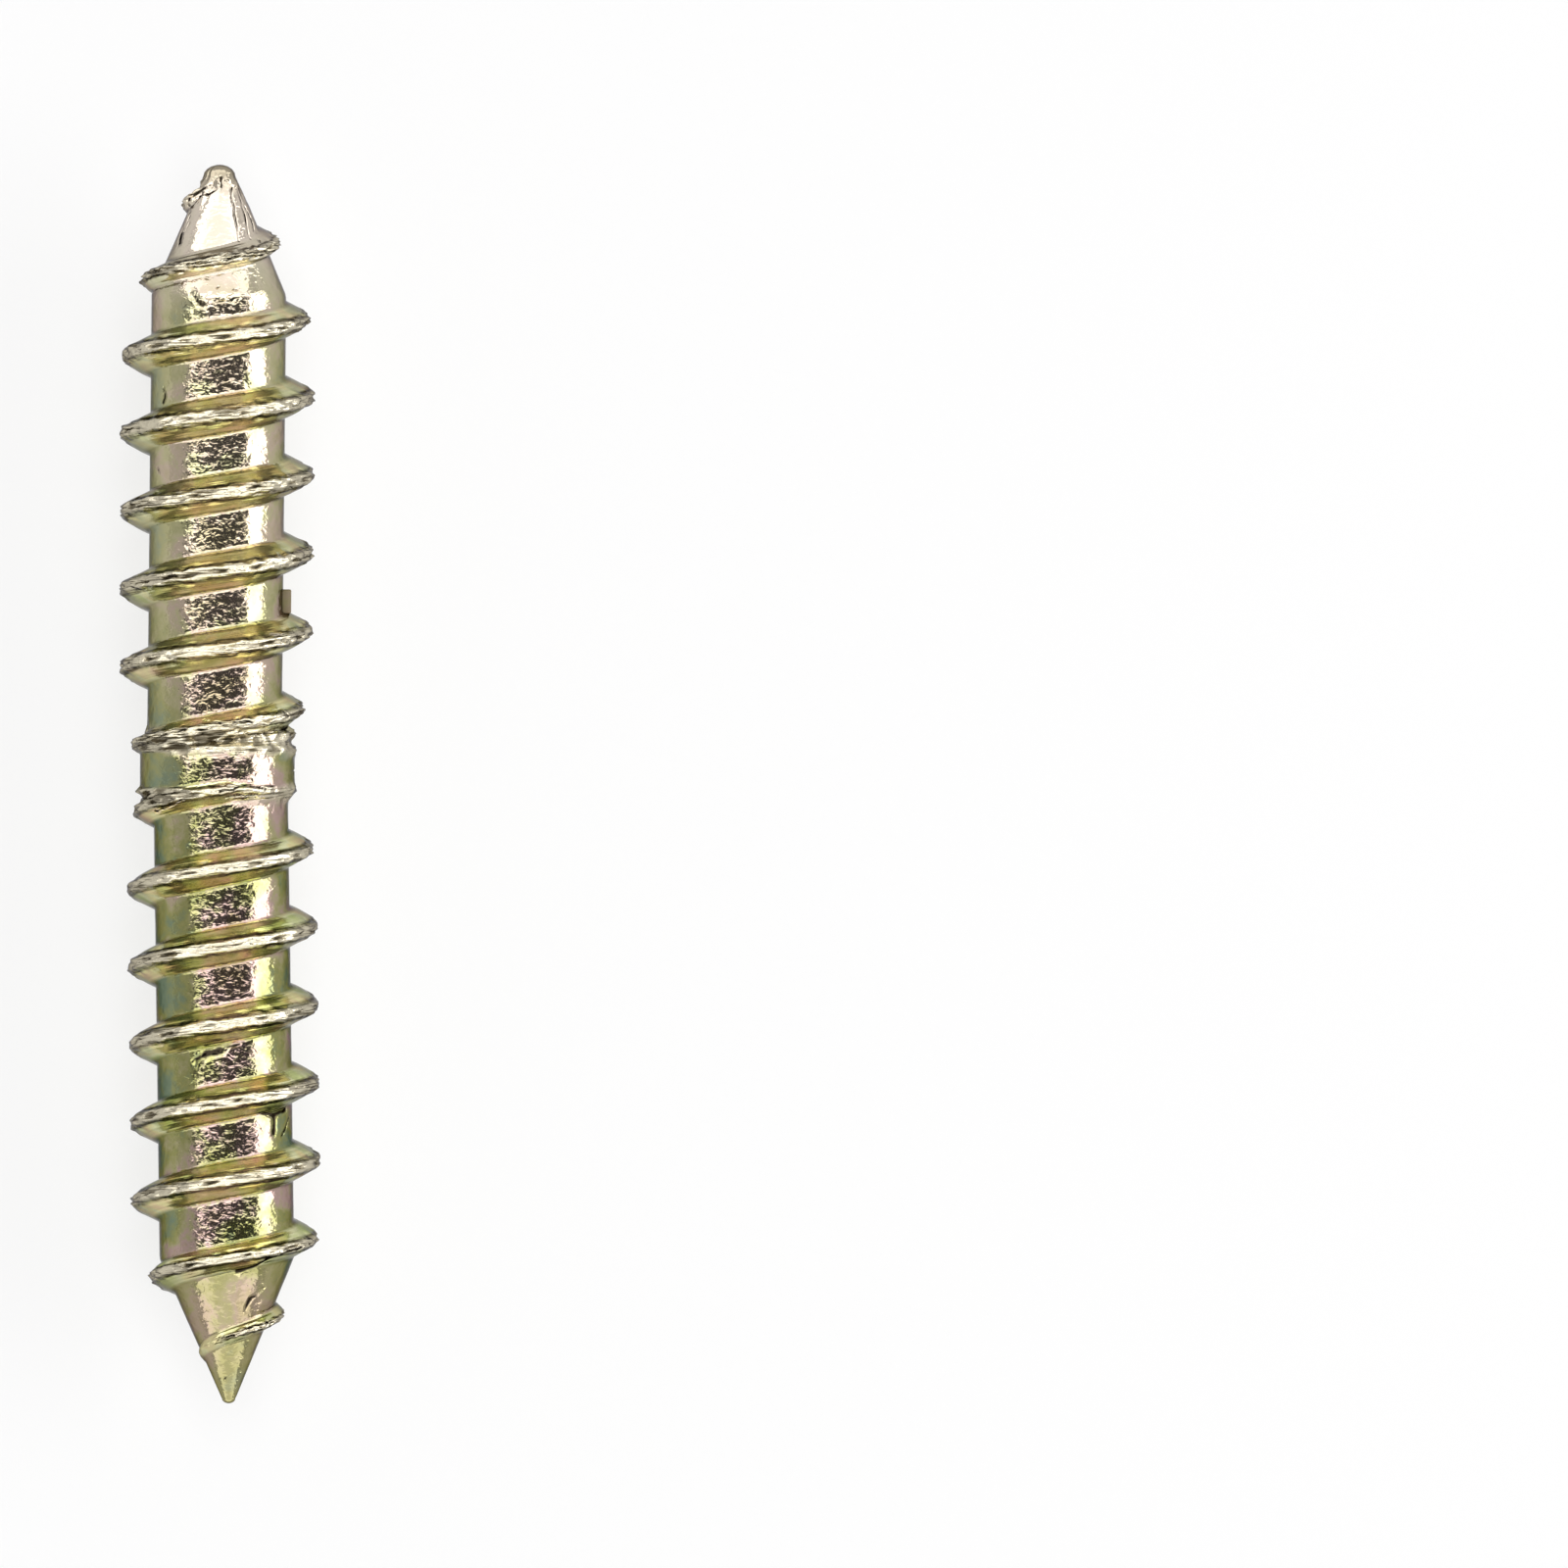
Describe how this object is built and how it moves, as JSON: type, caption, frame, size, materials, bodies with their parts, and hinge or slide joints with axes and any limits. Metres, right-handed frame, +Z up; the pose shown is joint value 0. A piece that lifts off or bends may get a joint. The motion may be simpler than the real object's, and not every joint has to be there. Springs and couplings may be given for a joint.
{
  "type": "double-ended wood screw",
  "caption": "Headless steel screw with a coarse wood thread running from each pointed end to a short plain collar, which joins two wooden parts out of sight.",
  "frame": {"origin": "on the floor that the screw lies on, below the middle of its length", "axes": "+Y along the screw towards its blunt point, +X across it, +Z up from the floor"},
  "size_m": [0.0065, 0.04, 0.0062],
  "materials": {
    "yellow_zinc_steel": "zinc plated and yellow passivated, patchy gold, olive and pink, with bare silvery thread crests"
  },
  "bodies": {
    "root": {"double_ended_screw": "yellow_zinc_steel"}
  },
  "joints": []
}
